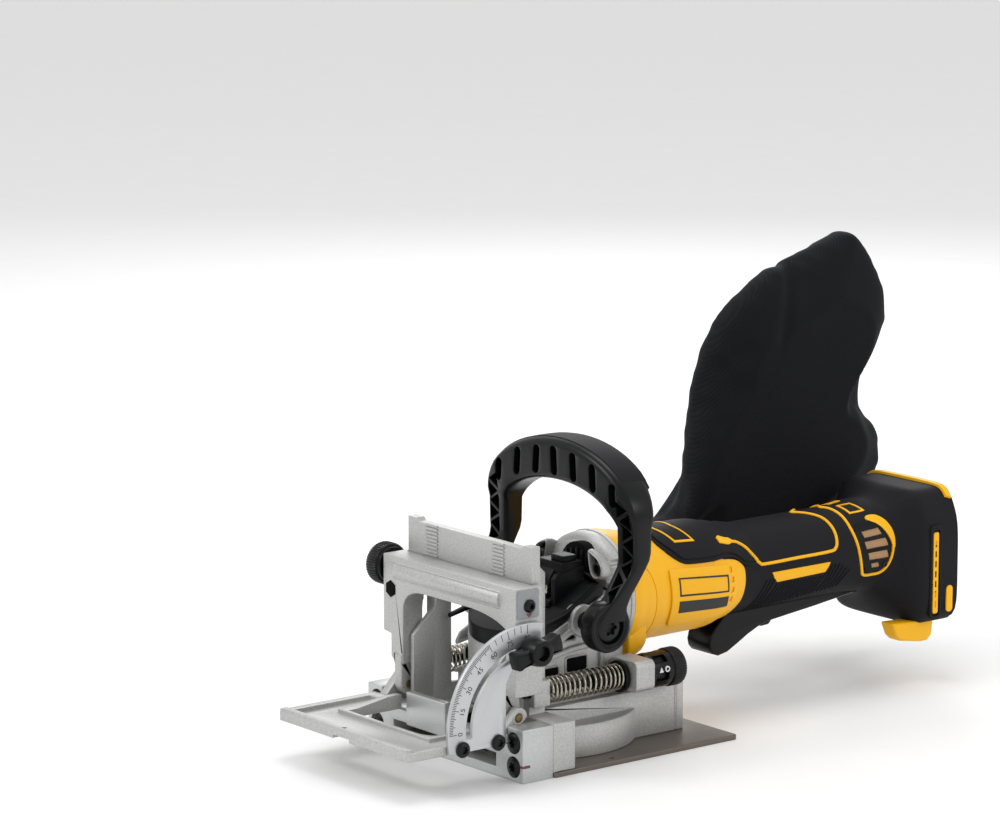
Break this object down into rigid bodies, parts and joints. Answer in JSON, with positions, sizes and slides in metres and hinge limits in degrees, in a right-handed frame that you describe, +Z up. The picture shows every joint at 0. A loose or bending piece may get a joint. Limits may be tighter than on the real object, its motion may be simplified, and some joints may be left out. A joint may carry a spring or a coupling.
{
  "type": "biscuit joiner",
  "caption": "Cordless biscuit joiner: plunging motor unit with disc blade, tilting and rising fence, depth turret, D-shaped front handle, paddle switch, dust bag and empty battery dock",
  "frame": {"origin": "On the flat underside of the shoe, in its middle plane, below the centre of the round guard; 72 mm behind the shoe's front face", "axes": "+Z up, square to the underside; -Y towards the work and the blade slot, +Y along the motor and grip to the battery dock; +X to the side with the angle quadrant and depth turret"},
  "size_m": [0.1876, 0.4891, 0.2841],
  "materials": {
    "steel": "bright machined steel",
    "black_steel": "blackened steel screws",
    "dark_steel": "dark brown-grey ground plate",
    "machined_aluminium": "milled bright faces",
    "cast_aluminium": "fine-grained die casting",
    "brass": "turned",
    "yellow_plastic": "satin yellow moulding",
    "black_plastic": "fine-textured black moulding",
    "grip_plastic": "soft matt overmoulded grip",
    "soft_rubber": "matt rubber",
    "clear_plastic": "clear pointer window",
    "copper_windings": null,
    "bag_cloth": "fine woven black cloth"
  },
  "bodies": {
    "shoe": {"face_plate": "machined_aluminium", "base_casting": "cast_aluminium", "bottom_plate": "dark_steel", "rack_plate": "cast_aluminium", "face_screw_near_lower": "black_steel", "face_screw_near_upper": "black_steel", "face_screw_far_lower": "black_steel", "face_screw_far_upper": "black_steel", "guide_rod_near": "steel", "guide_rod_far": "steel", "return_spring_near": "steel", "return_spring_far": "steel", "dust_port": "black_plastic"},
    "carrier": {"fence_carrier": "cast_aluminium", "pointer_window": "clear_plastic", "pointer_screw": "black_steel", "hinge_pin_near": "brass", "hinge_pin_far": "brass"},
    "height_drive": {"pinion_shaft": "steel", "height_knob": "black_plastic"},
    "height_lock": {"height_lock_lever": "black_plastic"},
    "fence": {"fence_flap": "cast_aluminium", "angle_quadrant": "machined_aluminium", "quadrant_screw_front": "black_steel", "quadrant_screw_rear": "black_steel"},
    "tilt_lock": {"tilt_knob": "black_plastic"},
    "motor_unit": {"gear_housing": "cast_aluminium", "gear_cover": "black_plastic", "housing_screw_near": "black_steel", "housing_screw_far": "black_steel", "motor_case": "yellow_plastic", "handle_shell_near": "grip_plastic", "handle_shell_far": "grip_plastic", "vent_cover_near": "black_plastic", "vent_cover_far": "black_plastic", "dock_bumper": "yellow_plastic", "terminal_block": "black_plastic", "control_module": "black_plastic", "front_handle": "black_plastic", "handle_pad": "soft_rubber", "handle_screw_near": "black_steel", "handle_screw_far": "black_steel", "spring_sleeve_near": "black_plastic", "spring_sleeve_far": "black_plastic", "spindle_bearing": "steel", "front_bearing": "steel", "rear_bearing": "steel", "stator": "copper_windings"},
    "depth_stop": {"depth_turret": "black_plastic", "depth_stop_screw": "black_steel"},
    "armature": {"rotor": "steel", "fan": "black_plastic"},
    "spindle_set": {"spindle": "steel", "bevel_gear": "steel", "blade": "steel", "clamp_nut": "steel"},
    "paddle": {"paddle_switch": "black_plastic"},
    "lock_off": {"lock_off_lever": "black_plastic"},
    "spindle_lock": {"spindle_lock_button": "steel"},
    "bag": {"dust_bag": "bag_cloth"}
  },
  "joints": [
    {"name": "plunge_slide", "type": "slide", "parent": "shoe", "child": "motor_unit", "axis": [0, -1, 0], "range_m": [0, 0.032], "stiffness_N_per_m": 400, "springref_m": -0.03, "deforming": ["return_spring_near", "return_spring_far"]},
    {"name": "fence_height", "type": "slide", "parent": "shoe", "child": "carrier", "axis": [0, 0, 1], "range_m": [0, 0.025]},
    {"name": "height_knob_turn", "type": "hinge", "parent": "carrier", "child": "height_drive", "pos_m": [-0.066, -0.05951, 0.106], "axis": [1, 0, 0], "range_deg": [-225, 5]},
    {"name": "fence_tilt", "type": "hinge", "parent": "carrier", "child": "fence", "pos_m": [0, -0.0625, 0.0355], "axis": [-1, 0, 0], "range_deg": [0, 90]},
    {"name": "tilt_knob_turn", "type": "hinge", "parent": "carrier", "child": "tilt_lock", "pos_m": [0.07, -0.0625, 0.079], "axis": [1, 0, 0], "range_deg": [0, 180]},
    {"name": "height_lock_turn", "type": "hinge", "parent": "carrier", "child": "height_lock", "pos_m": [-0.068, -0.058, 0.084], "axis": [-1, 0, 0], "range_deg": [0, 60]},
    {"name": "depth_turret_turn", "type": "hinge", "parent": "motor_unit", "child": "depth_stop", "pos_m": [0.049, 0.055, 0.0455], "axis": [0, 1, 0], "continuous": true},
    {"name": "rotor_spin", "type": "hinge", "parent": "motor_unit", "child": "armature", "pos_m": [0, 0.06, 0.086], "axis": [0, 1, 0], "continuous": true},
    {"name": "spindle_spin", "type": "hinge", "parent": "motor_unit", "child": "spindle_set", "pos_m": [0, -0.01, 0.03], "axis": [0, 0, 1], "continuous": true},
    {"name": "paddle_squeeze", "type": "hinge", "parent": "motor_unit", "child": "paddle", "pos_m": [0, 0.252, 0.058], "axis": [-1, 0, 0], "range_deg": [0, 4], "stiffness_Nm_per_rad": 1.2, "springref_deg": -20.05},
    {"name": "lock_off_swing", "type": "hinge", "parent": "paddle", "child": "lock_off", "pos_m": [0, 0.189, 0.049], "axis": [-1, 0, 0], "range_deg": [0, 8], "stiffness_Nm_per_rad": 0.02, "springref_deg": -17.19},
    {"name": "spindle_lock_press", "type": "slide", "parent": "motor_unit", "child": "spindle_lock", "axis": [0, 0, -1], "range_m": [0, 0.003], "stiffness_N_per_m": 600, "springref_m": -0.003},
    {"name": "bag_swivel", "type": "hinge", "parent": "shoe", "child": "bag", "pos_m": [-0.064, 0.116, 0.068], "axis": [0, 0, 1], "range_deg": [0, 60]}
  ],
  "couplings": [
    {"joint": "height_knob_turn", "follows": "fence_height", "rad_per_m": -151.77},
    {"joint": "rotor_spin", "follows": "spindle_spin", "ratio": 2}
  ]
}
